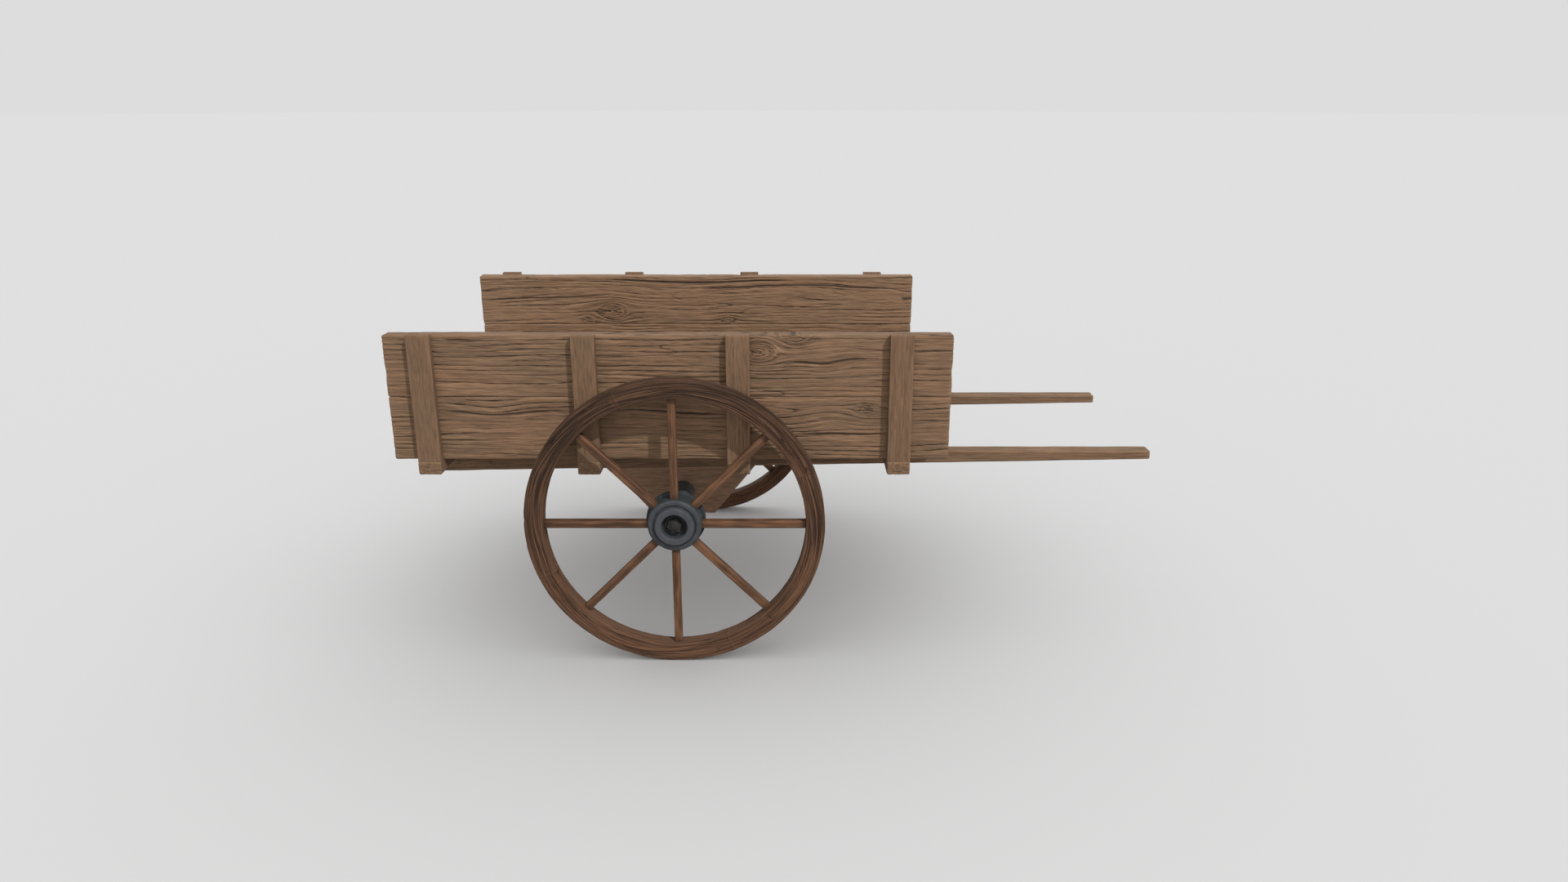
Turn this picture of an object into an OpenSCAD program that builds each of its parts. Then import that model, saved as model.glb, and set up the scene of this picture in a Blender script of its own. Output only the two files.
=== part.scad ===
// Two-wheeled wooden hand cart: an open-ended plank bed on four cross bearers and two
// tapered shafts, carried by an iron axle and two eight-spoked wheels.
// +X points to the handle ends, +Y to the right-hand wheel, +Z up, and the wheels stand on Z = 0.
// The origin is on the ground, in the middle of the whole length and width.

/* [Bed] */
// Length of the bed, which is also the length of its planks
bed_l = 1800; // [1450:10:2400]
// Width of the bed over the outside of its side planks
bed_w = 1192; // [990:2:1500]
// Thickness of a side plank
plank_t = 55; // [40:1:70]
// Height of the lower side plank
lower_plank_h = 209.5; // [150:0.5:260]
// Height of the upper side plank
upper_plank_h = 202.5; // [150:0.5:260]
// Bevel along the edges of a side plank
plank_edge = 5; // [1:0.5:8]
// Number of floor boards
floor_boards = 4; // [2:1:6]
// Thickness of a floor board
floor_t = 28; // [20:1:40]
// Gap between two floor boards
floor_gap = 2; // [1:0.5:5]

/* [Stakes] */
// Width of a stake, along the bed
stake_w = 75; // [55:1:95]
// Thickness of a stake
stake_t = 27; // [22:1:40]
// Height of a stake above the upper plank
stake_rise = 5; // [0:1:40]
// Distance from the rear end of the bed to the middle of the first stake
rear_stake = 121; // [60:1:180]
// Distance from the front end of the bed to the middle of the last stake
front_stake = 165; // [60:1:220]
// Distance between the two stakes beside the axle
middle_bay = 484; // [380:2:600]
// How far the middle of that bay lies behind the middle of the bed
middle_bay_shift = 23; // [0:1:40]
// Width of the tenon at the foot of a stake
tenon_w = 45; // [30:1:50]
// Thickness of that tenon
tenon_t = 15; // [10:1:18]

/* [Bearers] */
// Width of a cross bearer, along the bed
bearer_w = 75; // [60:1:95]
// Height of a cross bearer
bearer_h = 43; // [36:0.5:60]
// Length of a bearer end in front of its stake
bearer_ledge = 5; // [2:1:40]
// Corner cut at a bearer end
bearer_edge = 6; // [1:0.5:10]

/* [Shafts] */
// Width of a shaft
shaft_w = 61; // [45:1:75]
// Distance between the middle lines of the two shafts
shaft_spacing = 711; // [560:1:850]
// Depth of a shaft at its rear end
shaft_rear_depth = 75; // [64:1:95]
// Depth of a shaft at its handle end
shaft_tip_depth = 30; // [28:1:45]
// Length of the handles in front of the bed
shaft_reach = 732; // [500:10:1000]
// Distance from the rear end of the bed to the rear end of a shaft
shaft_inset = 10; // [0:1:60]
// Corner cut at a handle end
tip_cut = 8; // [2:1:12]

/* [Axle] */
// How far the axle lies in front of the middle of the bed
axle_shift = 13; // [-40:1:40]
// Height of the shafts' top faces above the middle of the axle
axle_drop = 147; // [138:1:220]
// Radius of the axle between the wheels
axle_r = 37; // [28:0.5:42]
// Radius of the journal that a wheel turns on
journal_r = 25; // [18:0.5:27]
// Radius of the threaded end of the axle
stud_r = 15; // [10:0.5:16]
// Thickness of an axle bracket
bracket_t = 50; // [35:1:60]
// Half of a bracket's length under the shaft
bracket_top = 252; // [200:1:300]
// Half of a bracket's length at its lower edge
bracket_foot = 108; // [80:1:150]
// Distance from the middle of the axle to a bracket's lower edge
bracket_drop = 84; // [60:1:110]

/* [Wheels] */
// Diameter of a wheel
wheel_d = 970; // [800:2:1200]
// Width of the rim
rim_w = 56; // [40:1:70]
// Depth of the rim from the tread to its inner face
rim_depth = 63; // [50:1:80]
// Bevel along the edges of the rim
rim_edge = 4; // [1:0.5:8]
// Distance between a bearer end and the rim
wheel_clear = 23; // [8:1:60]
// Width of a spoke
spoke_w = 26; // [22:1:32]
// Thickness of a spoke, along the axle
spoke_t = 24; // [20:1:30]
// Bevel along the edges of a spoke
spoke_edge = 3; // [1:0.5:5]
// Radius of the round tongue that enters the rim
tongue_r = 9; // [6:0.5:9]
// Length of that tongue
tongue_l = 40; // [20:1:45]

/* [Hub] */
// Radius of the drum that holds the spokes
drum_r = 88; // [82:1:92]
// Radius of the flange at the back of the hub
flange_r = 97; // [90:1:110]
// Thickness of that flange
flange_t = 20; // [10:1:24]
// Radius of the nose ring
nose_r = 64; // [56:1:68]
// Length of the nose ring
nose_l = 14; // [8:1:20]
// Radius of the recess in the nose
recess_r = 41; // [38:1:46]
// Radius of the outside of the bush
bush_r = 34; // [30:0.5:36]
// Clearance between the bush and the journal, on the radius
running_gap = 0.05; // [0.02:0.01:0.1]
// Free movement of a wheel along the axle, at each end
end_play = 0.5; // [0.3:0.1:1]
// Depth of a spoke's tenon in the hub
hub_tenon_l = 32; // [20:1:35]

/* [Fasteners] */
// Radius of the oak dowels in the stakes
dowel_r = 8; // [5:0.5:10]
// Length of a dowel inside the stake
dowel_in_stake = 17; // [10:1:19]
// Length of a dowel inside the plank
dowel_in_plank = 27; // [15:1:35]
// Distance from a plank's edge to the middle of a dowel
dowel_edge = 50; // [30:1:65]
// Radius of a dowel between two felloes
felloe_dowel_r = 7; // [5:0.5:9]
// Length of a dowel between two felloes
felloe_dowel_l = 60; // [40:2:80]
// Radius of a coach screw's shank
screw_r = 6; // [4:0.5:7]
// Depth that a coach screw enters a shaft below a bearer
screw_bite = 40; // [25:1:42]
// Distance between the two coach screws in a bracket
bracket_screws = 220; // [200:2:260]
// Radius of a floor nail's shank
nail_r = 2; // [1.5:0.5:3]
// Length of a floor nail
nail_l = 60; // [45:1:62]

/* [Hidden] */
$fn = 96;
sides = ["left", "right"];
spokes = 8;
felloes = 4;
spoke_step = 360 / spokes;
felloe_step = 360 / felloes;

// Coach screws: head, point, and the holes that let the head in
screw_head_r = 12;
screw_head_h = 8;
screw_point = 8;
counterbore_r = 14;
bearer_counterbore = 9;
bracket_counterbore = 25;
// Floor nails: head, point, shift off the bearer's middle line, distance to the board's edge
nail_head_r = 5.5;
nail_head_h = 2.5;
nail_point = 5;
nail_stagger = 20;
nail_edge = 40;
// Axle nut: its collar, its hexagon, and the stud left over outside it
nut_collar_r = 35;
nut_collar_t = 5;
nut_r = 25.4;
nut_t = 14;
stud_end = 4;
// Hub: ends of the drum and floor of the recess, measured outwards from the rim's middle plane
drum_back = 22;
drum_front = 25;
recess_floor = 3;
// Hub: neck behind the drum, groove round the nose, rounded edges
neck_depth = 4;
neck_w = 6;
groove_w = 6;
groove_depth = 4;
drum_edge = 6;
nose_edge = 3;
// Section of a spoke's tenon in the hub
tenon_across = 18;
tenon_along = 16;
// How far a cut runs past the face that it opens
overlap = 5;

// Along the cart
overall_l = bed_l + shaft_reach;
rear_x = -overall_l / 2;
front_x = rear_x + bed_l;
middle_x = rear_x + bed_l / 2;
bay_x = middle_x - middle_bay_shift;
stake_x = [
    rear_x + rear_stake,
    bay_x - middle_bay / 2,
    bay_x + middle_bay / 2,
    front_x - front_stake
];
axle_x = middle_x + axle_shift;
shaft_rear_x = rear_x + shaft_inset;
tip_x = overall_l / 2;

// Across the cart
wall_out_y = bed_w / 2;
wall_in_y = wall_out_y - plank_t;
bearer_end_y = wall_out_y + stake_t + bearer_ledge;
rim_y = bearer_end_y + wheel_clear + rim_w / 2;
shaft_y = shaft_spacing / 2;
tenon_y = wall_out_y + stake_t / 2;
board_w = (2 * wall_in_y - (floor_boards - 1) * floor_gap) / floor_boards;

// Upwards
wheel_r = wheel_d / 2;
axle_z = wheel_r;
shaft_top = axle_z + axle_drop;
bearer_top = shaft_top + bearer_h;
seam_z = bearer_top + lower_plank_h;
plank_top = seam_z + upper_plank_h;
stake_top = plank_top + stake_rise;

// Wheel and hub, with s the distance outwards from the middle plane of the rim
rim_in_r = wheel_r - rim_depth;
hub_back = -(drum_back + neck_w + flange_t);
nose_front = drum_front + nose_l;
journal_end = recess_floor + end_play;
screw_l = bearer_h - bearer_counterbore + screw_bite;
felloe_dowel_at = wheel_r - rim_depth / 2;

// Depth of a shaft at a place along the cart
function shaft_depth(x) =
    shaft_rear_depth
    + (shaft_tip_depth - shaft_rear_depth) * (x - shaft_rear_x) / (tip_x - shaft_rear_x);
// Height of the middle of the dowels in a plank that starts at z and is h high
function dowel_z(z, h) = [z + dowel_edge, z + h - dowel_edge];
function all_dowel_z() = concat(
    dowel_z(bearer_top, lower_plank_h),
    dowel_z(seam_z, upper_plank_h)
);
// Middle of a floor board across the cart
function board_y(k) = -wall_in_y + board_w / 2 + (k - 1) * (board_w + floor_gap);
// Places of the nails in a floor board, two on each bearer
function board_nails(k) = [
    for (x = stake_x, s = [-1, 1])
        [x + s * nail_stagger, board_y(k) + s * (board_w / 2 - nail_edge)]
];

// ---- Shared shapes ----

// Puts what is modelled on the right-hand side on the named side
module on_side(side) {
    if (side == "left") mirror([0, 1, 0]) children();
    else children();
}

// Rectangle with its corners cut, centred
module cut_rect(w, h, c) {
    polygon([
        [-w / 2 + c, -h / 2], [w / 2 - c, -h / 2], [w / 2, -h / 2 + c], [w / 2, h / 2 - c],
        [w / 2 - c, h / 2], [-w / 2 + c, h / 2], [-w / 2, h / 2 - c], [-w / 2, -h / 2 + c]
    ]);
}

// Prism along X from x0 to x1, its outline drawn in Y and Z
module along_x(x0, x1) {
    translate([x0, 0, 0]) rotate([90, 0, 90]) linear_extrude(x1 - x0) children();
}

// Prism along Y from y0 to y1, its outline drawn in X and Z
module along_y(y0, y1) {
    translate([0, y1, 0]) rotate([90, 0, 0]) linear_extrude(y1 - y0) children();
}

// Cylinder along Y from y0 to y1
module rod_y(r, y0, y1) {
    translate([0, y1, 0]) rotate([90, 0, 0]) cylinder(r = r, h = y1 - y0);
}

// Shape turned about the wheel's axis, its outline drawn as [radius, s]
module turned() {
    rotate([-90, 0, 0]) rotate_extrude() children();
}

// ---- Bed ----

module side_plank(z, h) {
    color("#86694f")
    difference() {
        along_x(rear_x, front_x)
            translate([wall_out_y - plank_t / 2, z + h / 2])
                cut_rect(plank_t, h, plank_edge);
        for (x = stake_x, dz = dowel_z(z, h))
            translate([x, 0, dz])
                rod_y(dowel_r, wall_out_y - dowel_in_plank, wall_out_y + overlap);
    }
}

module stake(k) {
    color("#8c6f55")
    difference() {
        union() {
            translate([stake_x[k - 1], 0, bearer_top])
                linear_extrude(stake_top - bearer_top)
                    translate([-stake_w / 2, wall_out_y])
                        square([stake_w, stake_t]);
            translate([stake_x[k - 1] - tenon_w / 2, tenon_y - tenon_t / 2, shaft_top])
                cube([tenon_w, tenon_t, bearer_h + overlap]);
        }
        for (dz = all_dowel_z())
            translate([stake_x[k - 1], 0, dz])
                rod_y(dowel_r, wall_out_y - overlap, wall_out_y + dowel_in_stake);
    }
}

module floor_board(k) {
    color("#7d6249")
    difference() {
        translate([rear_x, board_y(k) - board_w / 2, bearer_top])
            cube([bed_l, board_w, floor_t]);
        for (p = board_nails(k))
            translate([p[0], p[1], bearer_top + floor_t]) nail_room();
    }
}

// ---- Under the bed ----

module bearer_outline() {
    polygon([
        [-bearer_w / 2, bearer_h], [bearer_w / 2, bearer_h],
        [bearer_w / 2, bearer_edge], [bearer_w / 2 - bearer_edge, 0],
        [-bearer_w / 2 + bearer_edge, 0], [-bearer_w / 2, bearer_edge]
    ]);
}

// Length and height of a bearer, with a bevel at its ends that stops in front of the stakes
module bearer_side_outline() {
    bevel = min(bearer_ledge, bearer_edge);
    polygon([
        [-bearer_end_y + bevel, bearer_h], [bearer_end_y - bevel, bearer_h],
        [bearer_end_y, bearer_h - bevel],
        [bearer_end_y, bearer_edge], [bearer_end_y - bearer_edge, 0],
        [-bearer_end_y + bearer_edge, 0], [-bearer_end_y, bearer_edge],
        [-bearer_end_y, bearer_h - bevel]
    ]);
}

module cross_bearer(k) {
    color("#7f644b")
    difference() {
        translate([stake_x[k - 1], 0, shaft_top])
            intersection() {
                along_y(-bearer_end_y, bearer_end_y) bearer_outline();
                along_x(-bearer_w / 2, bearer_w / 2) bearer_side_outline();
                linear_extrude(bearer_h) cut_rect(bearer_w, 2 * bearer_end_y, bearer_edge);
            }
        for (s = [-1, 1]) {
            translate([stake_x[k - 1] - tenon_w / 2, s * tenon_y - tenon_t / 2, shaft_top - overlap])
                cube([tenon_w, tenon_t, bearer_h + 2 * overlap]);
            translate([stake_x[k - 1], s * shaft_y, bearer_top]) screw_room(bearer_counterbore);
        }
        for (b = [1:floor_boards], p = board_nails(b))
            translate([p[0], p[1], bearer_top + floor_t]) nail_room();
    }
}

module shaft() {
    rear_z = shaft_top - shaft_rear_depth;
    end_z = shaft_top - shaft_tip_depth;
    color("#856850")
    difference() {
        intersection() {
            along_y(shaft_y - shaft_w / 2, shaft_y + shaft_w / 2)
                polygon([
                    [shaft_rear_x, rear_z], [shaft_rear_x, shaft_top],
                    [tip_x - tip_cut, shaft_top], [tip_x, shaft_top - tip_cut],
                    [tip_x, end_z + tip_cut], [tip_x - tip_cut, end_z]
                ]);
            translate([0, shaft_y, rear_z - overlap])
                linear_extrude(shaft_rear_depth + 2 * overlap)
                    polygon([
                        [shaft_rear_x, -shaft_w / 2], [tip_x - tip_cut, -shaft_w / 2],
                        [tip_x, -shaft_w / 2 + tip_cut], [tip_x, shaft_w / 2 - tip_cut],
                        [tip_x - tip_cut, shaft_w / 2], [shaft_rear_x, shaft_w / 2]
                    ]);
        }
        for (x = stake_x)
            translate([x, shaft_y, bearer_top]) screw_room(bearer_counterbore);
        for (s = [-1, 1])
            translate([axle_x + s * bracket_screws / 2, shaft_y, shaft_top])
                screw_room(bracket_counterbore);
    }
}

module axle_bracket() {
    color("#77604a")
    difference() {
        along_y(shaft_y - bracket_t / 2, shaft_y + bracket_t / 2)
            polygon([
                [axle_x - bracket_foot, axle_z - bracket_drop],
                [axle_x + bracket_foot, axle_z - bracket_drop],
                [axle_x + bracket_top, shaft_top - shaft_depth(axle_x + bracket_top)],
                [axle_x - bracket_top, shaft_top - shaft_depth(axle_x - bracket_top)]
            ]);
        translate([axle_x, 0, axle_z])
            rod_y(axle_r, shaft_y - bracket_t / 2 - overlap, shaft_y + bracket_t / 2 + overlap);
        for (s = [-1, 1])
            translate([axle_x + s * bracket_screws / 2, shaft_y, shaft_top])
                screw_room(bracket_counterbore);
    }
}

// ---- Axle ----

module axle() {
    shoulder_y = rim_y + hub_back - end_play;
    journal_y = rim_y + journal_end;
    end_y = journal_y + nut_collar_t + nut_t + stud_end;
    color("#2e3436")
    translate([axle_x, 0, axle_z])
        turned()
            polygon([
                [0, -end_y], [stud_r, -end_y], [stud_r, -journal_y],
                [journal_r, -journal_y], [journal_r, -shoulder_y],
                [axle_r, -shoulder_y], [axle_r, shoulder_y],
                [journal_r, shoulder_y], [journal_r, journal_y],
                [stud_r, journal_y], [stud_r, end_y], [0, end_y]
            ]);
}

module axle_nut() {
    color("#3c4144")
    translate([axle_x, rim_y + journal_end, axle_z])
        difference() {
            union() {
                rod_y(nut_collar_r, 0, nut_collar_t);
                translate([0, nut_collar_t + nut_t, 0])
                    rotate([90, 0, 0])
                        cylinder(r = nut_r, h = nut_t + nut_collar_t / 2, $fn = 6);
            }
            rod_y(stud_r, -overlap, nut_collar_t + nut_t + overlap);
        }
}

// ---- Wheel ----

// Brings what is modelled round the origin to the middle of a wheel
module at_wheel() {
    translate([axle_x, rim_y, axle_z]) children();
}

module hub_outline() {
    polygon([
        [bush_r, hub_back], [flange_r - neck_depth, hub_back],
        [flange_r, hub_back + neck_depth], [flange_r, hub_back + flange_t],
        [drum_r - neck_depth, hub_back + flange_t], [drum_r - neck_depth, -drum_back],
        [drum_r, -drum_back + neck_depth / 2], [drum_r, drum_front - drum_edge],
        [drum_r - drum_edge, drum_front], [nose_r + groove_w, drum_front],
        [nose_r + groove_w, drum_front - groove_depth], [nose_r, drum_front - groove_depth],
        [nose_r, nose_front - nose_edge], [nose_r - nose_edge, nose_front],
        [recess_r + nose_edge, nose_front], [recess_r, nose_front - nose_edge],
        [recess_r, recess_floor], [bush_r, recess_floor]
    ]);
}

// Square tenon of a spoke, lying along X
module spoke_tenon() {
    translate([drum_r - hub_tenon_l, -tenon_along / 2, -tenon_across / 2])
        cube([hub_tenon_l + overlap, tenon_along, tenon_across]);
}

// Round tongue of a spoke, lying along X
module spoke_tongue() {
    translate([rim_in_r - overlap, 0, 0])
        rotate([0, 90, 0])
            cylinder(r = tongue_r, h = tongue_l + overlap);
}

module hub() {
    color("#3f474a")
    at_wheel()
        difference() {
            turned() hub_outline();
            for (k = [1:spokes])
                rotate([0, -k * spoke_step, 0]) spoke_tenon();
        }
}

module hub_bush() {
    color("#6d5a35")
    at_wheel()
        difference() {
            rod_y(bush_r, hub_back, recess_floor);
            rod_y(journal_r + running_gap, hub_back - overlap, recess_floor + overlap);
        }
}

module spoke(k) {
    color("#7d4f35")
    at_wheel()
        rotate([0, -k * spoke_step, 0])
            union() {
                difference() {
                    intersection() {
                        along_x(drum_r - overlap, rim_in_r + overlap)
                            cut_rect(spoke_t, spoke_w, spoke_edge);
                        rod_y(rim_in_r, -spoke_t, spoke_t);
                    }
                    rod_y(drum_r, -spoke_t, spoke_t);
                }
                spoke_tenon();
                spoke_tongue();
            }
}

// Dowel that joins the felloes at the end of felloe k
module felloe_dowel(k) {
    rotate([0, -(k * felloe_step + spoke_step / 2), 0])
        translate([felloe_dowel_at, 0, -felloe_dowel_l / 2])
            cylinder(r = felloe_dowel_r, h = felloe_dowel_l);
}

module felloe(k) {
    start = (k - 1) * felloe_step + spoke_step / 2;
    color("#5f4230")
    at_wheel()
        difference() {
            rotate([0, -start, 0])
                rotate([90, 0, 0])
                    rotate_extrude(angle = felloe_step)
                        translate([wheel_r - rim_depth / 2, 0])
                            cut_rect(rim_depth, rim_w, rim_edge);
            for (j = [1:spokes])
                rotate([0, -j * spoke_step, 0]) spoke_tongue();
            felloe_dowel(k - 1);
            felloe_dowel(k);
        }
}

module felloe_dowels() {
    color("#8f7150")
    at_wheel()
        for (k = [1:felloes]) felloe_dowel(k);
}

// ---- Fasteners ----

module stake_dowels() {
    color("#8f7150")
    for (s = sides, x = stake_x, z = all_dowel_z())
        on_side(s)
            translate([x, 0, z])
                rod_y(dowel_r, wall_out_y - dowel_in_plank, wall_out_y + dowel_in_stake);
}

// Space that a nail takes, hanging from the floor's top face
module nail_room() {
    translate([0, 0, -nail_head_h]) cylinder(r = nail_head_r, h = nail_head_h + overlap);
    translate([0, 0, -nail_l]) cylinder(r = nail_r, h = nail_l);
}

module floor_nails() {
    color("#4a4542")
    for (b = [1:floor_boards], p = board_nails(b))
        translate([p[0], p[1], bearer_top + floor_t])
            rotate_extrude()
                polygon([
                    [0, -nail_l], [nail_r, nail_point - nail_l], [nail_r, -nail_head_h],
                    [nail_head_r, -nail_head_h], [nail_head_r, 0], [0, 0]
                ]);
}

// Space that a coach screw takes below a top face, with its head let in
module screw_room(head_depth) {
    translate([0, 0, -head_depth]) cylinder(r = counterbore_r, h = head_depth + overlap);
    translate([0, 0, -head_depth - screw_l]) cylinder(r = screw_r, h = screw_l + overlap);
}

module coach_screw(head_depth) {
    translate([0, 0, -head_depth]) {
        cylinder(r = screw_head_r, h = screw_head_h, $fn = 6);
        rotate_extrude()
            polygon([
                [0, -screw_l], [screw_r, screw_point - screw_l], [screw_r, screw_head_h / 2],
                [0, screw_head_h / 2]
            ]);
    }
}

module coach_screws() {
    color("#3c4144")
    for (s = sides)
        on_side(s) {
            for (x = stake_x)
                translate([x, shaft_y, bearer_top]) coach_screw(bearer_counterbore);
            for (t = [-1, 1])
                translate([axle_x + t * bracket_screws / 2, shaft_y, shaft_top])
                    coach_screw(bracket_counterbore);
        }
}

// ---- The cart ----

for (k = [1:4]) {
    cross_bearer(k);
}
for (k = [1:floor_boards]) {
    floor_board(k);
}
for (side = sides) {
    on_side(side) shaft();
    on_side(side) side_plank(bearer_top, lower_plank_h);
    on_side(side) side_plank(seam_z, upper_plank_h);
    for (k = [1:4]) {
        on_side(side) stake(k);
    }
    on_side(side) axle_bracket();
    on_side(side) axle_nut();
    on_side(side) hub();
    on_side(side) hub_bush();
    for (k = [1:spokes]) {
        on_side(side) spoke(k);
    }
    for (k = [1:felloes]) {
        on_side(side) felloe(k);
    }
    on_side(side) felloe_dowels();
}
axle();
stake_dowels();
floor_nails();
coach_screws();
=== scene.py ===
"""Weathered timber and cast iron for the two-wheeled hand cart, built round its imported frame."""

import math

import bmesh
import bpy
from mathutils import Matrix, Vector, noise


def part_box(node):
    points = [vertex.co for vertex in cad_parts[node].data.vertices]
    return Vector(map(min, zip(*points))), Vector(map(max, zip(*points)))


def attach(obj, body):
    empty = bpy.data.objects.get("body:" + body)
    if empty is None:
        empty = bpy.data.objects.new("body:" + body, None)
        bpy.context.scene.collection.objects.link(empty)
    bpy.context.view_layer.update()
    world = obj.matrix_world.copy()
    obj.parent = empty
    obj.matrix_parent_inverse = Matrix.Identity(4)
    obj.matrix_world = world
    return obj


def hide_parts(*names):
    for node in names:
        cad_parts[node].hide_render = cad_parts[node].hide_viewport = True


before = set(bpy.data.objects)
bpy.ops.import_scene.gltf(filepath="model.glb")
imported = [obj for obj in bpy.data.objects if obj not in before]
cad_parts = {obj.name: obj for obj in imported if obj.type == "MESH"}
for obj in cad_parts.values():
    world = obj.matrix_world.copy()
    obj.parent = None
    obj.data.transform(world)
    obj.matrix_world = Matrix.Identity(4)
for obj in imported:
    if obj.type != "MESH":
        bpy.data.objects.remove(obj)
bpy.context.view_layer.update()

bl_info = {
    "name": "Hand cart",
    "version": (1, 0, 0),
    "blender": (4, 5, 0),
    "location": "3D View > Sidebar > Hand cart",
    "description": "Builds the boards, wheels and iron of a two-wheeled hand cart",
    "category": "Object",
}

SIDES = ("left", "right")
OUTWARD = {"left": -1.0, "right": 1.0}
MM = 0.001

KNOT_STRETCH = 1.7  # a knot's swirl is this many times longer than wide
KNOT_RING = 0.0095  # distance between the rings in a knot
SHAKE_TAPER = 0.08  # length over which a split narrows to its end
RUBBED_REACH = 0.012  # how far in from an edge the wood is rubbed pale
WEAR_ALONG, WEAR_ACROSS = 0.3, 0.55  # share of the wear that moves a point in these directions
END_REACH = 0.05  # how far in from a board's end its wear reaches
LEVEL_REACH = 0.012  # how far in from a felloe's end its face is levelled to meet the next one
FLUSH = 0.0005  # a point this near a neighbour counts as lying on it


def linear(code):
    """sRGB hex, such as "#85684f", as a linear colour with alpha."""
    parts = [int(code[i : i + 2], 16) / 255 for i in (1, 3, 5)]
    return [c / 12.92 if c <= 0.04045 else ((c + 0.055) / 1.055) ** 2.4 for c in parts] + [1.0]


def colour_property(name, description, code):
    """A colour that a user can change, given as sRGB hex."""
    return bpy.props.FloatVectorProperty(
        name=name, description=description, subtype="COLOR", size=4, min=0.0, max=1.0, default=linear(code)
    )


def length_property(name, description, default):
    """A length that a user can change, in metres."""
    return bpy.props.FloatProperty(
        name=name, description=description, unit="LENGTH", min=0.0, default=default, precision=4
    )


class HandCartTimber(bpy.types.PropertyGroup):
    """Colours of the timbers and how far the weather has worn them."""

    plank_colour: colour_property("Planks", "Side planks, sawn and left outdoors", "#67503d")
    stake_colour: colour_property("Stakes", "Stakes, planed", "#604a38")
    frame_colour: colour_property("Frame", "Shafts and cross bearers", "#644e3b")
    floor_colour: colour_property("Floor", "Floor boards", "#66513f")
    # Paler than the frame: painted light, as the brackets stand in the shade under the bed
    bracket_colour: colour_property("Brackets", "Axle brackets", "#775e4b")
    rim_colour: colour_property("Rims", "Felloes of both wheels, oiled", "#483223")
    spoke_colour: colour_property("Spokes", "Spokes, oiled and rubbed", "#523826")
    crack_depth: length_property("Crack depth", "Depth of the widest cracks in a plank", 0.0026)
    ridge_depth: length_property("Ridge depth", "Height of the hard grain over the soft", 0.0040)
    plank_round: length_property("Plank edges", "Rounding along the edges of a plank", 0.0065)
    stake_round: length_property("Stake edges", "Rounding along the edges of a stake", 0.0025)
    shaft_round: length_property("Shaft edges", "Rounding along the edges of a shaft", 0.009)
    handle_depth: length_property("Handle depth", "Depth of a shaft at its handle end", 0.030)


class HandCartIron(bpy.types.PropertyGroup):
    """Colours of the iron."""

    hub_colour: colour_property("Hubs", "Cast iron under old slate paint", "#1b2123")
    axle_colour: colour_property("Axle", "Forged iron, greased", "#525859")
    nut_colour: colour_property("Nuts", "Wrought nuts, rusted and greased", "#1a1817")
    cast_depth: length_property("Cast relief", "Unevenness of the cast surface", 0.0007)


class HandCartStage(bpy.types.PropertyGroup):
    """Floor, light and camera."""

    paper_colour: colour_property("Backdrop", "Backdrop behind the floor, as the camera sees it", "#dddddd")
    sky_strength: bpy.props.FloatProperty(
        name="Fill", description="Strength of the even fill light", min=0.0, default=0.97
    )
    key_strength: bpy.props.FloatProperty(
        name="Key", description="Strength of the key light", min=0.0, default=3.5
    )
    side_strength: bpy.props.FloatProperty(
        name="Side fill", description="Strength of the two broad lights from the sides", min=0.0, default=0.75
    )
    key_spread: bpy.props.FloatProperty(
        name="Key spread", description="Width of the key light seen from the cart", subtype="ANGLE",
        default=math.radians(1.6),
    )
    camera_place: bpy.props.FloatVectorProperty(
        name="Camera", description="Place of the camera", subtype="TRANSLATION", size=3,
        default=(-0.001, -3.870, 1.8055),
    )
    camera_pitch: bpy.props.FloatProperty(
        name="Pitch", description="How far the camera looks down", subtype="ANGLE",
        default=math.radians(18.06),
    )
    camera_lens: bpy.props.FloatProperty(
        name="Lens", description="Focal length", unit="CAMERA", default=24.444
    )


# ---- Beams and boards ----


def stops(start, end, step, edge):
    """Places of the cuts from start to end: close together over a rounded edge, even between."""
    near = [0.0, 0.586 * edge, edge]
    count = max(1, round((end - start - 2 * edge) / step))
    even = [start + edge + (end - start - 2 * edge) * i / count for i in range(1, count)]
    return [start + n for n in near] + even + [end - n for n in reversed(near)]


def beam(low, high, step, edge, seed=0.0, square_ends=False):
    """Beam between two corners, cut into cells of about step, with its edges worn round.

    The layer near_edge holds how far each point lies from the nearest long edge or end."""
    places = [stops(a, b, s, edge) for a, b, s in zip(low, high, step)]
    bm = bmesh.new()
    bmesh.ops.create_cube(bm, size=1.0)
    for axis in range(3):
        edges = [e for e in bm.edges if abs(e.verts[0].co[axis] - e.verts[1].co[axis]) > 1e-6]
        bmesh.ops.subdivide_edges(bm, edges=edges, cuts=len(places[axis]) - 2, use_grid_fill=True)
    near = bm.verts.layers.float.new("near_edge")
    counts = [len(p) - 1 for p in places]
    for v in bm.verts:
        p = [places[a][round((v.co[a] + 0.5) * counts[a])] for a in range(3)]
        gaps = sorted(min(p[a] - low[a], high[a] - p[a]) for a in range(3))
        v[near] = gaps[1]
        r = edge * (0.85 + 0.7 * abs(noise.noise((p[0] * 9 + seed, p[1] * 9, p[2] * 9))))
        q = [min(max(p[a], low[a] + r), high[a] - r) for a in range(3)]
        if square_ends:
            q[0] = p[0]
        d = Vector(p) - Vector(q)
        v.co = Vector(q) + d * (r / d.length) if d.length > 1e-9 else Vector(p)
    return bm


def smooth(low, high, value):
    """0 at low, 1 at high and an even S between them."""
    t = min(max((value - low) / (high - low), 0.0), 1.0)
    return t * t * (3 - 2 * t)


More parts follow.
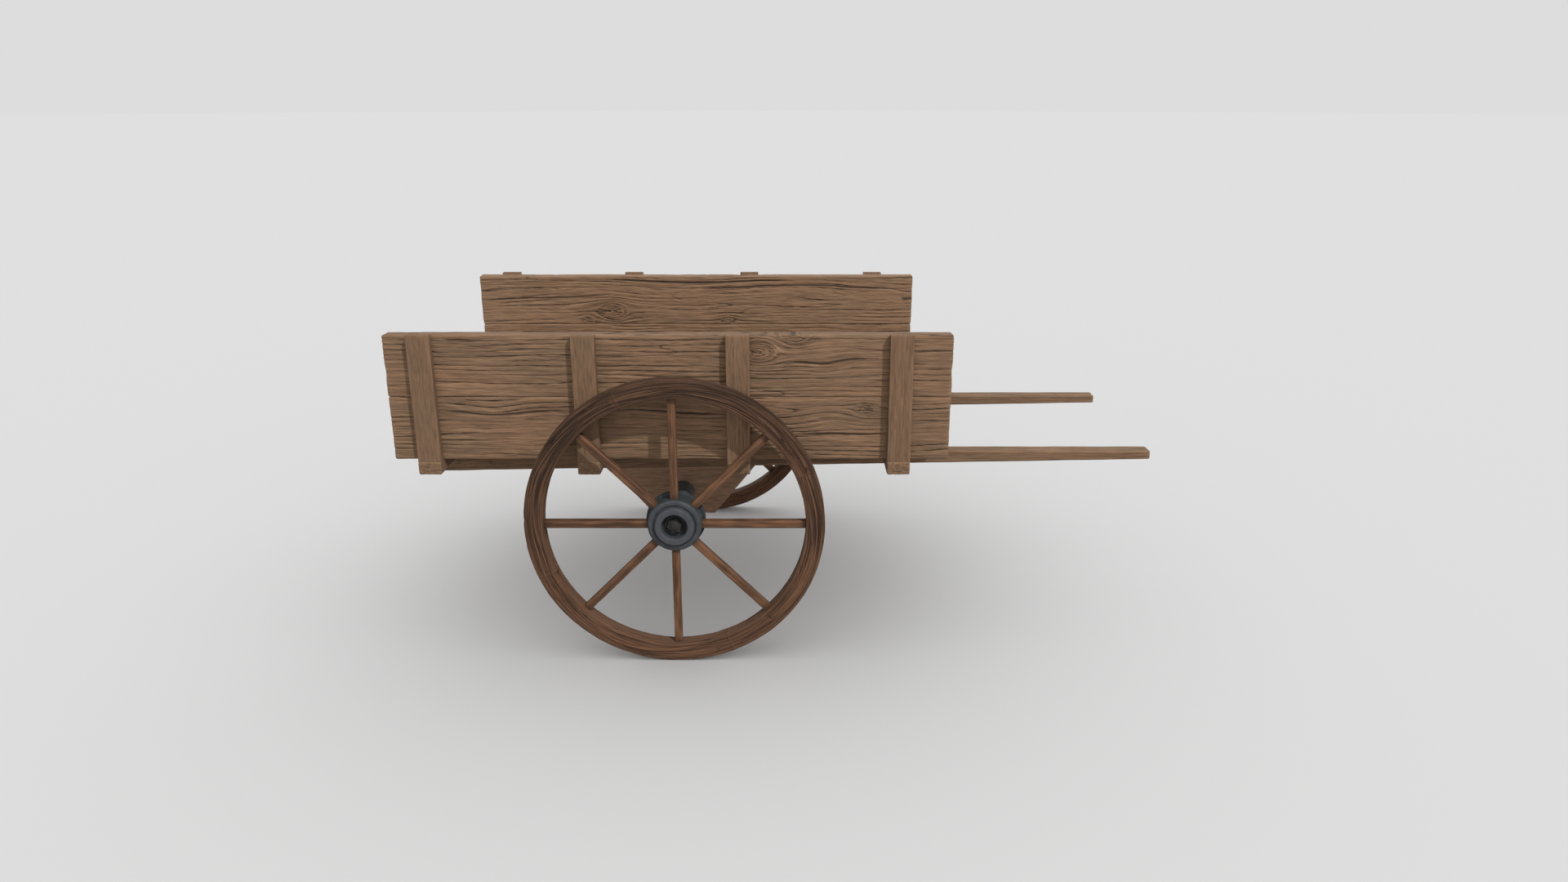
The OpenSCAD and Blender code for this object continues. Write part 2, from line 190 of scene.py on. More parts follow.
def weather(
    bm, order, seed, crack, ridge, pitch=0.013, reach=0.30, knots=(), bends=(), shakes=(), touching=(),
    tone=0.0, square_ends=False,
):
    """Wears a piece along its grain, and leaves what its material reads in its layers.

    order names the axes along the grain, through the thickness and across the width.
    crack is how deep the splits go, and ridge how far the hard grain stands over the soft.
    pitch is the distance between two ridges, and reach about how long one runs.
    knots are (along, across, radius), and the fibres pass round them.
    bends are (along, across, length, rise), where the fibres rise and fall again.
    shakes are (from, to, across, width), splits that follow the fibres.
    touching holds where across the width the piece lies on a neighbour, and stays flat.
    tone makes the whole piece lighter or darker, and square_ends keeps its ends flat."""
    layers = bm.verts.layers
    grain, marks = layers.float_vector.new("grain"), layers.float_vector.new("marks")
    tones = layers.float.new("tone")
    near = layers.float["near_edge"]
    bm.normal_update()
    axes = ["xyz".index(c) for c in order]
    wave = noise.noise
    moves = []
    first_end, last_end = (pick(v.co[axes[0]] for v in bm.verts) for pick in (min, max))
    for v in bm.verts:
        u, t, w = (v.co[a] for a in axes)
        s = u + seed * 7.31
        w0 = w
        w += 0.010 * wave((s * 1.6, t * 2.0, w * 5.0)) + 0.0022 * wave((s * 8.0, t * 9.0, w * 22.0))
        for at, over, length, lift in bends:
            w -= lift * math.exp(-(((u - at) / length) ** 2) - ((w0 - over) / (2.2 * abs(lift))) ** 2)
        swirl = 0.0
        for at, over, radius in knots:
            du, dw = (u - at) / KNOT_STRETCH, w - over
            d2 = du * du + dw * dw
            if d2 > radius * radius:
                w = over + dw * (1 - radius * radius / d2)
            else:
                w = over + 1.6 * (radius - math.sqrt(d2))
            swirl = max(swirl, math.exp(-d2 / (5 * radius * radius)))
        crumble = wave((s * 38.0, t * 95.0, w0 * 95.0))
        count = w / pitch + 0.8 * wave((s * 3.0, t * 14.0, w0 * 21.0)) + 0.05 * crumble
        rise = count - math.floor(count)
        lip = wave((s / reach, t * 11.0, math.floor(count) * 0.73 + seed))
        lip = smooth(-0.22, 0.30, lip + 0.5 * swirl) * (0.75 + 0.5 * crumble)
        big = wave((s * 0.6 / reach, t / (5.0 * pitch), w / (2.2 * pitch) + 4.7 * seed))
        patch = smooth(0.0, 0.3, wave((s * 2.1, t * 6.0 + 3.0, w0 * 9.0)))
        gash = smooth(0.035, 0.0, abs(big + 0.03 * crumble)) * patch
        slow = 0.5 + 0.5 * wave((s * 3.0, t * 5.0, w0 * 11.0))
        for first, last, over, width in shakes:
            if first < u < last:
                taper = min(u - first, last - u, SHAKE_TAPER) / SHAKE_TAPER
                gape = abs(w - over - 0.0012 * crumble) / (width * taper + 1e-6)
                gash = max(gash, smooth(1.0, 0.35, gape))
        rings = swirl * smooth(0.1, 0.9, math.sin(w * 2 * math.pi / KNOT_RING + crumble))
        end = 0.0 if square_ends else smooth(0.5, 0.9, abs(v.normal[axes[0]]))
        year = end * smooth(0.0, 0.9, math.sin(2 * math.pi * 1.3 * count + 1.5 * crumble))
        # Darker lines: cracks, with dirt and painted shade; the groove under each ridge, painted shade; knot
        # and end-grain rings, grain
        split = max(gash, lip * smooth(0.66, 0.95, rise), 0.9 * rings, 0.55 * year)
        depth = crack * max(gash, 0.6 * rings)
        depth += ridge * (lip * rise * rise + 0.45 * slow + 0.12 + 0.16 * crumble)
        if any(abs(w0 - place) < FLUSH for place in touching):
            depth = 0.0
        if square_ends:
            level = 0.35 * ridge
            depth = level + (depth - level) * smooth(0.0, LEVEL_REACH, min(u - first_end, last_end - u))
        moves.append(v.normal * max(depth, 0.0))
        worn = 1.0 - v[near] / RUBBED_REACH + 1.1 * wave((s * 11.0, t * 30.0, w0 * 30.0))
        v[grain] = (s, t + seed * 0.77, w + seed * 1.13)
        v[marks] = (split, min(max(worn, 0.0), 1.0), swirl)
        v[tones] = tone - 0.07 * end
    for v, move in zip(bm.verts, moves):
        move[axes[0]] *= 0.0 if square_ends else WEAR_ALONG
        move[axes[2]] *= WEAR_ACROSS
        v.co -= move


def reshape(bm, place):
    """Moves every point to place(point)."""
    for v in bm.verts:
        v.co = place(v.co)


def stand_in(bm, name, body, slot, material, *nodes):
    """Makes the mesh a piece that stands for CAD nodes and rides on their body."""
    bmesh.ops.recalc_face_normals(bm, faces=bm.faces)
    for f in bm.faces:
        f.smooth = True
    mesh = bpy.data.meshes.new(name)
    bm.to_mesh(mesh)
    bm.free()
    mesh.materials.append(material)
    piece = bpy.data.objects.new(name, mesh)
    bpy.context.scene.collection.objects.link(piece)
    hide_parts(*nodes)
    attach(piece, body)
    return piece


def repaint(material, *nodes):
    """Gives CAD nodes that keep their own shape a new material."""
    for name in nodes:
        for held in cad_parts[name].material_slots:
            held.material = material


# ---- Materials ----


def add(tree, kind, inputs=None, stops=None, **settings):
    """Adds a node with its settings, and fills its inputs with values or with links."""
    made = tree.nodes.new("ShaderNode" + kind)
    for key, value in settings.items():
        setattr(made, key, value)
    for key, value in (inputs or {}).items():
        if isinstance(value, bpy.types.NodeSocket):
            tree.links.new(value, made.inputs[key])
        else:
            made.inputs[key].default_value = value
    if stops:
        ramp = made.color_ramp.elements
        ramp[0].position, ramp[0].color = stops[0]
        ramp[1].position, ramp[1].color = stops[-1]
        for place, value in stops[1:-1]:
            ramp.new(place).color = value
    return made


def new_material(name):
    """An empty material with its Principled shader, or None if it is there already."""
    if name in bpy.data.materials:
        return None, None, None
    material = bpy.data.materials.new(name)
    material.use_nodes = True
    tree = material.node_tree
    return material, tree, tree.nodes["Principled BSDF"]


def shade(colour, factor):
    """A colour made lighter or darker."""
    return [min(c * factor, 1.0) for c in colour[:3]] + [1.0]


def grey(value):
    """A linear grey with alpha."""
    return (value, value, value, 1.0)


def timber(
    name, colour, light=1.20, dark=0.70, crack=0.27, red=1.0, fibre=1.0, polish=0.82, hold=0.92,
    depth=0.0030, mottle=0.07, contrast=1.0, own=True,
):
    """Timber whose figure follows the fibres.

    light and dark are the early and late wood against the colour, and contrast how hard they meet.
    crack is how dark the cracks and the grooves under the ridges are drawn, dirt and painted shade in one, and
    hold how much of it there is.
    fibre makes the pores finer, and mottle the weather patches stronger.
    own says that the piece brings its own grain layer."""
    material, tree, shader = new_material(name)
    if material is None:
        return bpy.data.materials[name]
    if own:
        grain = add(tree, "Attribute", attribute_name="grain").outputs["Vector"]
    else:
        grain = add(tree, "TexCoord").outputs["Object"]
    marks = add(tree, "Attribute", attribute_name="marks").outputs["Vector"]
    tone = add(tree, "Attribute", attribute_name="tone").outputs["Fac"]
    part = add(tree, "SeparateXYZ", {0: marks})
    # Per metre: weather patches 330 mm long and 60 to 100 mm wide, streaks of early and late
    # wood 220 mm by 7 to 9 mm, pores 60 mm by 3 mm, and saw grit 4 mm by 2 mm. Real pores and grit
    # are well under 1 mm wide, and are drawn coarser so that they show.
    patterns = []
    for scale, detail, rough in (
        ((3.0, 16.0, 10.0), 4.0, 0.6),
        ((4.5, 110.0, 135.0), 4.0, 0.62),
        ((16.0 * fibre, 300.0 * fibre, 330.0 * fibre), 3.0, 0.6),
        ((260.0, 620.0, 620.0), 2.0, 0.6),
    ):
        stretched = add(tree, "VectorMath", {0: grain, 1: scale}, operation="MULTIPLY").outputs[0]
        cells = {"Vector": stretched, "Scale": 1.0, "Detail": detail, "Roughness": rough}
        patterns.append(add(tree, "TexNoise", cells).outputs["Fac"])
    patches, streaks, pores, grit = patterns
    drift = add(tree, "MapRange", {0: patches, 1: 0.3, 2: 0.7, 3: -mottle, 4: mottle}).outputs[0]
    level = add(tree, "Math", {0: streaks, 1: drift}, operation="ADD").outputs[0]
    level = add(tree, "Math", {0: level, 1: tone}, operation="ADD").outputs[0]
    base = add(
        tree, "ValToRGB", {0: level},
        stops=[
            (0.5 - 0.24 / contrast, shade(colour, dark)),
            (0.5 - 0.08 / contrast, shade(colour, 0.5 + 0.5 * dark)),
            (0.5 + 0.04 / contrast, colour),
            (0.5 + 0.24 / contrast, shade(colour, light)),
        ],
    ).outputs[0]
    cool_end, warm_end = (0.97, 1.0, 1.0, 1.0), (1.03 * red, 0.99, 0.97, 1.0)
    warm = add(tree, "ValToRGB", {0: patches}, stops=[(0.35, cool_end), (0.65, warm_end)]).outputs[0]
    pore_dark = add(tree, "MapRange", {0: pores, 1: 0.34, 2: 0.60, 3: 0.69, 4: 1.13}).outputs[0]
    for factor in (warm, pore_dark):
        base = add(
            tree, "Mix", {0: 1.0, 6: base, 7: factor}, data_type="RGBA", blend_type="MULTIPLY"
        ).outputs[2]
    # Edges rubbed pale by wear; on the felloes the same mix also paints light on the inner face
    rubbed = add(tree, "Math", {0: part.outputs["Y"], 1: 0.26}, operation="MULTIPLY").outputs[0]
    base = add(tree, "Mix", {0: rubbed, 6: base, 7: shade(colour, 1.5)}, data_type="RGBA").outputs[2]
    # Dirt and painted shade: cracks, the grooves under the ridges and the spoke ends drawn darker
    held = add(tree, "MapRange", {0: part.outputs["X"], 1: 0.25, 2: 1.0, 3: 0.0, 4: hold}).outputs[0]
    base = add(tree, "Mix", {0: held, 6: base, 7: shade(colour, crack)}, data_type="RGBA").outputs[2]
    rough = add(
        tree, "MapRange", {0: streaks, 1: 0.3, 2: 0.7, 3: polish + 0.1, 4: polish - 0.08}
    ).outputs[0]
    relief = add(tree, "Math", {0: pores, 1: 0.55}, operation="MULTIPLY").outputs[0]
    relief = add(tree, "Math", {0: streaks, 1: 0.9, 2: relief}, operation="MULTIPLY_ADD").outputs[0]
    relief = add(tree, "Math", {0: grit, 1: 0.25, 2: relief}, operation="MULTIPLY_ADD").outputs[0]
    bump = add(tree, "Bump", {"Strength": 1.0, "Distance": depth, "Height": relief}).outputs[0]
    tree.links.new(base, shader.inputs["Base Color"])
    tree.links.new(rough, shader.inputs["Roughness"])
    tree.links.new(bump, shader.inputs["Normal"])
    shader.inputs["Specular IOR Level"].default_value = 0.20
    return material


def iron(name, colour, rust=0.35, polish=0.72, metal=0.0, blue=True):
    """Iron, or bronze where metal is high and blue is off, with the skin of its making.

    Its tone and rust lie in clouds 26 mm across, its pits 5 mm apart and its grit 2 mm, coarser than
    foundry sand so that it shows. The layer named rubbed says where the skin is worn to bare grey."""
    material, tree, shader = new_material(name)
    if material is None:
        return bpy.data.materials[name]
    place = add(tree, "TexCoord").outputs["Object"]
    clouds, grit = (
        add(tree, "TexNoise", {"Vector": place, "Scale": s, "Detail": d, "Roughness": r}).outputs["Fac"]
        for s, d, r in ((38.0, 5.0, 0.62), (520.0, 3.0, 0.6))
    )
    pits = add(tree, "TexVoronoi", {"Vector": place, "Scale": 210.0}, feature="F1").outputs["Distance"]
    cool = [colour[0] * 0.80, colour[1] * 0.98, colour[2] * (1.04 if blue else 0.95), 1.0]
    base = add(
        tree, "ValToRGB", {0: clouds},
        stops=[(0.32, shade(cool, 0.62)), (0.5, colour), (0.68, shade(colour, 1.38))],
    ).outputs[0]
    worn = add(tree, "Attribute", attribute_name="rubbed").outputs["Fac"]
    base = add(tree, "Mix", {0: worn, 6: base, 7: linear("#34343a")}, data_type="RGBA").outputs[2]
    rusty = add(tree, "MapRange", {0: clouds, 1: 0.42, 2: 0.30, 3: 0.0, 4: rust}).outputs[0]
    base = add(tree, "Mix", {0: rusty, 6: base, 7: linear("#3a2a22")}, data_type="RGBA").outputs[2]
    speck = add(tree, "MapRange", {0: grit, 1: 0.35, 2: 0.65, 3: 0.72, 4: 1.26}).outputs[0]
    base = add(
        tree, "Mix", {0: 1.0, 6: base, 7: speck}, data_type="RGBA", blend_type="MULTIPLY"
    ).outputs[2]
    rough = add(
        tree, "MapRange", {0: clouds, 1: 0.3, 2: 0.7, 3: polish + 0.18, 4: polish - 0.08}
    ).outputs[0]
    dents = add(tree, "MapRange", {0: pits, 1: 0.0, 2: 0.5, 3: 0.0, 4: 0.7}).outputs[0]
    relief = add(tree, "Math", {0: grit, 1: 0.6, 2: dents}, operation="MULTIPLY_ADD").outputs[0]
    bump = add(tree, "Bump", {"Strength": 0.75, "Distance": 0.0009, "Height": relief}).outputs[0]
    tree.links.new(base, shader.inputs["Base Color"])
    tree.links.new(rough, shader.inputs["Roughness"])
    tree.links.new(bump, shader.inputs["Normal"])
    shader.inputs["Metallic"].default_value = metal
    return material


# ---- Bed ----


class HANDCART_OT_planks(bpy.types.Operator):
    """Four side planks, cracked along the grain, with knots where the branches were."""

    bl_idname = "hand_cart.planks"
    bl_label = "Side planks"

    # For each board its knots, bends and splits, in the terms of weather()
    KNOTS = {
        "left_upper_side_plank": [(-0.082, 1.030, 0.034), (0.030, 1.078, 0.026)],
        "left_lower_side_plank": [(0.262, 0.842, 0.019)],
        "right_upper_side_plank": [
            (-0.715, 0.938, 0.036), (-0.820, 0.905, 0.015), (-0.235, 0.892, 0.018),
        ],
        "right_lower_side_plank": [(0.16, 0.80, 0.014)],
    }
    BENDS = {
        "left_upper_side_plank": [(0.13, 0.985, 0.07, -0.014), (-0.95, 0.94, 0.20, 0.008)],
        "left_lower_side_plank": [
            (-0.93, 0.840, 0.10, -0.018), (-0.50, 0.835, 0.16, 0.014), (0.16, 0.82, 0.10, 0.020),
        ],
        "right_upper_side_plank": [(0.10, 1.04, 0.30, 0.018), (-0.90, 0.95, 0.12, -0.010)],
        "right_lower_side_plank": [(-0.70, 0.80, 0.16, -0.014)],
    }
    SHAKES = {
        "left_upper_side_plank": [
            (-1.09, -0.95, 1.070, 0.004), (-0.02, 0.30, 1.012, 0.004), (0.42, 0.54, 1.035, 0.0035),
        ],
        "left_lower_side_plank": [
            (-1.11, -0.70, 0.838, 0.005), (-0.55, -0.15, 0.829, 0.004), (0.02, 0.33, 0.765, 0.0045),
            (0.40, 0.54, 0.806, 0.004),
        ],
        "right_upper_side_plank": [
            (-0.75, 0.05, 1.056, 0.006), (-0.35, 0.45, 1.030, 0.005), (-1.27, -0.72, 0.985, 0.004),
        ],
        "right_lower_side_plank": [(-0.9, -0.3, 0.78, 0.005)],
    }
    # The right boards are drawn lighter: painted light against the shade the bed casts on their inner face
    TONES = {"left_upper": 0.03, "left_lower": 0.0, "right_upper": 0.17, "right_lower": 0.08}
    LOWER_RIDGE = 1.25  # the lower boards are wetted more, and their grain stands higher

    def execute(self, context):
        p = context.scene.hand_cart_timber
        # Sawn pine left outdoors: dull grey brown, with hard grain that stands proud and casts fine shadows,
        # and cracks drawn as near-black lines of dirt and painted shade
        material = timber("pine_sawn_weathered", p.plank_colour, contrast=1.3, crack=0.22, hold=1.0)
        for seed, name in enumerate(self.KNOTS):
            low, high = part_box(name)
            lower, board = "lower" in name, name[: name.index("_side")]
            bm = beam(low, high, (0.009, 0.006, 0.0018), p.plank_round, seed)
            wear_ends(bm, low[0], high[0], seed)
            weather(
                bm, "xyz", seed + 1, p.crack_depth, p.ridge_depth * (self.LOWER_RIDGE if lower else 1.0),
                pitch=0.0155, knots=self.KNOTS[name], bends=self.BENDS[name], shakes=self.SHAKES[name],
                touching=(low[2], high[2]) if lower else (low[2],), tone=self.TONES[board],
            )
            stand_in(bm, board + "_plank", "cart", "plank_wood", material, name)
        return {"FINISHED"}


def wear_ends(bm, start, end, seed, depth=0.0028):
    """Wears the two ends of a board back unevenly, by about depth at most."""
    for v in bm.verts:
        gap = min(v.co.x - start, end - v.co.x)
        if gap < END_REACH:
            wear = 0.18 + 0.9 * noise.noise((seed * 5.1, v.co.y * 12, v.co.z * 16))
            wear += 0.18 * noise.noise((seed * 3.3, v.co.y * 40, v.co.z * 60))
            shift = depth * max(wear, 0.0) * (1 - gap / END_REACH)
            v.co.x += shift if v.co.x - start < end - v.co.x else -shift


class HANDCART_OT_stakes(bpy.types.Operator):
    """Eight planed stakes, four on each side, with upright grain."""

    bl_idname = "hand_cart.stakes"
    bl_label = "Stakes"

    TONES = (0.01, 0.0, 0.10, 0.0)
    SUNK = 0.004  # how far a stake's foot goes on into its bearer

    def execute(self, context):
        p = context.scene.hand_cart_timber
        # Planed ash: quiet upright figure and a flat face that stands out from the rough boards
        material = timber(
            "ash_planed_weathered", p.stake_colour, light=1.10, dark=0.84, fibre=1.25, hold=0.4,
            depth=0.0012,
        )
        for s, side in enumerate(SIDES):
            for k in range(1, 5):
                name = f"{side}_stake_{k}"
                low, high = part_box(name)
                low = (low[0], low[1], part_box(f"cross_bearer_{k}")[1][2] - self.SUNK)
                bm = beam(low, high, (0.004, 0.005, 0.009), p.stake_round, seed=20 + k + 4 * s)
                weather(
                    bm, "zyx", 20 + k + 4 * s, 0.0, 0.0005, pitch=0.007, reach=0.14,
                    tone=self.TONES[(k - 1 + 2 * s) % 4],
                )
                stand_in(bm, f"{side}_post_{k}", "cart", "stake_wood", material, name)
        return {"FINISHED"}


class HANDCART_OT_floor(bpy.types.Operator):
    """Floor boards laid lengthwise, scuffed by loads."""

    bl_idname = "hand_cart.floor"
    bl_label = "Floor boards"

    def execute(self, context):
        p = context.scene.hand_cart_timber
        # Sawn pine scuffed by loads: low contrast and shallow grain, plainer than the sides
        material = timber("pine_sawn_scuffed", p.floor_colour, light=1.12, dark=0.82)
        boards = sorted(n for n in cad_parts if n.startswith("floor_board_"))
        for k, name in enumerate(boards):
            low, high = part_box(name)
            bm = beam(low, high, (0.012, 0.0045, 0.007), 0.003, seed=40 + k)
            wear_ends(bm, low[0], high[0], 40 + k, 0.003)
            middle = (low[1] + high[1]) / 2
            knots = [(-0.9 + 0.47 * k, middle + 0.05 * (-1) ** k, 0.013)]
            weather(
                bm, "xzy", 40 + k, 0.0018, 0.0016, pitch=0.016, knots=knots, touching=(low[1], high[1]),
                tone=0.05 * noise.noise((k * 2.9, 1.5, 0.5)),
            )
            stand_in(bm, f"deck_{k + 1}", "cart", "floor_wood", material, name)
        return {"FINISHED"}


# ---- Under the bed ----


class HANDCART_OT_bearers(bpy.types.Operator):
    """Cross bearers, whose ends are chopped and worn into rough feet."""

    bl_idname = "hand_cart.bearers"
    bl_label = "Cross bearers"

    CHIPPED = 0.012  # how far in from a bearer's end it is chipped
    CHIP_DEPTH = 0.004

    def execute(self, context):
        p = context.scene.hand_cart_timber
        # Hewn oak: close, hard-edged streaks and ends that are chipped to uneven feet
        material = timber(
            "oak_hewn_weathered", p.frame_colour, light=1.14, dark=0.72, depth=0.0018, contrast=1.6
        )
        for k in range(1, 5):
            name = f"cross_bearer_{k}"
            low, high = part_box(name)
            bm = beam(low, high, (0.0035, 0.008, 0.0035), 0.006, seed=60 + k)
            weather(bm, "yxz", 60 + k, 0.0014, 0.0014, pitch=0.012, reach=0.12, tone=0.05)
            for v in bm.verts:
                gap = min(v.co.y - low[1], high[1] - v.co.y)
                if gap < self.CHIPPED:
                    chip = max(noise.noise((v.co.x * 60, k * 4.0, v.co.z * 110)), 0.0)
                    v.co.y -= math.copysign(self.CHIP_DEPTH * chip, v.co.y)
            stand_in(bm, f"bearer_{k}", "cart", "frame_wood", material, name)
        return {"FINISHED"}


class HANDCART_OT_shafts(bpy.types.Operator):
    """Two shafts that taper on the underside and end in rounded handles."""

    bl_idname = "hand_cart.shafts"
    bl_label = "Shafts"

    def execute(self, context):
        p = context.scene.hand_cart_timber
        # Hewn ash worn by hands: long clear streaks and round edges that take the light softly
        material = timber(
            "ash_hewn_handled", p.frame_colour, light=1.16, dark=0.74, fibre=1.1, hold=0.9,
            depth=0.0020, contrast=1.6,
        )
        for s, side in enumerate(SIDES):
            low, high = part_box(f"{side}_shaft")
            full, length, top = high[2] - low[2], high[0] - low[0], high[2]
            bm = beam(low, high, (0.010, 0.0035, 0.0038), p.shaft_round, seed=70 + s)
            weather(bm, "xyz", 70 + s, 0.0014, 0.0018, pitch=0.010, reach=0.16)

            def taper(co):
                depth = full + (p.handle_depth - full) * (co.x - low[0]) / length
                return Vector((co.x, co.y, top - (top - co.z) * depth / full))

            reshape(bm, taper)
            stand_in(bm, f"{side}_handle_shaft", "cart", "frame_wood", material, f"{side}_shaft")
        return {"FINISHED"}


class HANDCART_OT_brackets(bpy.types.Operator):
    """Two boards under the shafts that narrow downwards and hold the axle."""

    bl_idname = "hand_cart.brackets"
    bl_label = "Axle brackets"

    FOOT = 0.108  # half the length of a bracket's lower edge

    def execute(self, context):
        p = context.scene.hand_cart_timber
        # Sawn oak, smoother than the timber that is rained on, and paler: painted light that lifts the
        # brackets out of the shade under the bed
        material = timber(
            "oak_sawn_bracket", p.bracket_colour, light=1.12, dark=0.80, hold=0.8, depth=0.0018,
            contrast=1.3,
        )
        for s, side in enumerate(SIDES):
            name = f"{side}_axle_bracket"
            low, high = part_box(name)
            rear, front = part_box(f"{side}_shaft")
            bm = beam(low, high, (0.006, 0.0045, 0.0032), 0.002, seed=80 + s)
            weather(bm, "xyz", 80 + s, 0.0010, 0.0016, pitch=0.012, reach=0.16)
            middle, half = (low[0] + high[0]) / 2, (high[0] - low[0]) / 2

            def narrow(co):
                t = (co.z - low[2]) / (high[2] - low[2])
                x = middle + (co.x - middle) * (self.FOOT + (half - self.FOOT) * t) / half
                full = front[2] - rear[2]
                under = front[2] - full - (p.handle_depth - full) * (x - rear[0]) / (front[0] - rear[0])
                return Vector((x, co.y, low[2] + t * (under - low[2])))

            reshape(bm, narrow)
            stand_in(bm, f"{side}_bracket", "cart", "bracket_wood", material, name)
        return {"FINISHED"}


# ---- Iron ----


def turned(profile, steps):
    """Closed outline of (radius, along) points, turned about the Y axis."""
    bm = bmesh.new()
    verts = [bm.verts.new((r, y, 0.0)) for r, y in profile]
    edges = [bm.edges.new((verts[i], verts[i + 1])) for i in range(len(verts) - 1)]
    if profile[0][0] > 0 and profile[-1][0] > 0:
        edges.append(bm.edges.new((verts[-1], verts[0])))
    bmesh.ops.spin(
        bm, geom=verts + edges, cent=(0, 0, 0), axis=(0, 1, 0), angle=2 * math.pi, steps=steps,
        use_merge=True, use_duplicate=False,
    )
    bmesh.ops.remove_doubles(bm, verts=bm.verts, dist=1e-6)
    return bm


def soften(bm, width, segments=2, angle=25.0):
    """Rounds the sharp edges of a mesh."""
    bmesh.ops.recalc_face_normals(bm, faces=bm.faces)
    sharp = [e for e in bm.edges if len(e.link_faces) == 2 and e.calc_face_angle() > math.radians(angle)]
    bmesh.ops.bevel(
        bm, geom=sharp, offset=width, segments=segments, profile=0.5, affect="EDGES", material=-1,
        clamp_overlap=True,
    )


def uneven(bm, depth, scale, seed):
    """Pushes a surface mostly in and a little out by about depth, in lumps 1 / scale across."""
    bm.normal_update()
    for v in bm.verts:
        x, y, z = v.co * scale
        lump = noise.noise((x + seed, y, z)) + 0.5 * noise.noise((2.3 * x, 2.3 * y + seed, 2.3 * z))
        v.co += v.normal * depth * (lump - 0.6)


def wheel_middle(side):
    """Middle of a wheel: on the axle's line, in the middle of the rim."""
    low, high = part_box(f"{side}_felloe_1")
    axle_low, axle_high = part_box("axle")
    return Vector(((axle_low[0] + axle_high[0]) / 2, (low[1] + high[1]) / 2, (axle_low[2] + axle_high[2]) / 2))


class HANDCART_OT_hubs(bpy.types.Operator):
    """Cast hubs: back flange, drum that holds the spokes, and a nose ring round the nut."""

    bl_idname = "hand_cart.hubs"
    bl_label = "Hubs"

    FACETS = 144
    # Radius and distance outwards from the rim's middle, in millimetres
    OUTLINE = [
        (34, -48), (93, -48), (97, -44), (97, -30), (95, -28), (84, -28), (84, -22), (86.5, -21), (88, -19),
        (88, -6), (88, 6), (88, 17), (86.5, 21.5), (82, 25), (76, 25), (70, 24.6), (69, 21), (65, 21),
        (64, 24), (64, 34), (62.6, 37.6), (59, 39), (53, 38.6), (47, 38.8), (43.6, 38), (41.6, 35.5),
        (41, 28), (41, 16), (40, 7), (38, 3), (34, 3),
    ]

    def execute(self, context):
        p = context.scene.hand_cart_iron
        # Sand-cast iron under old slate paint: dull blue black and pitted, rubbed grey on the nose
        material = iron("iron_cast_slate_painted", p.hub_colour)
        for s, side in enumerate(SIDES):
            out = OUTWARD[side]
            bm = turned([(r * MM, a * MM * out) for r, a in self.OUTLINE], self.FACETS)
            soften(bm, 0.0009)
            uneven(bm, p.cast_depth, 45.0, 3.0 + 5 * s)
            rubbed = bm.verts.layers.float.new("rubbed")
            for v in bm.verts:
                scored = 0.5 + 0.5 * noise.noise((math.hypot(v.co.x, v.co.z) * 420, s * 5.0, v.co.y * 160))
                v[rubbed] = smooth(0.018, 0.030, v.co.y * out) * (0.35 + 0.65 * scored)
                v.co.y -= 0.0005 * out * scored
            bmesh.ops.translate(bm, verts=bm.verts, vec=wheel_middle(side))
            stand_in(bm, f"{side}_hub_casting", f"{side}_wheel", "hub_iron", material, f"{side}_hub")
        return {"FINISHED"}


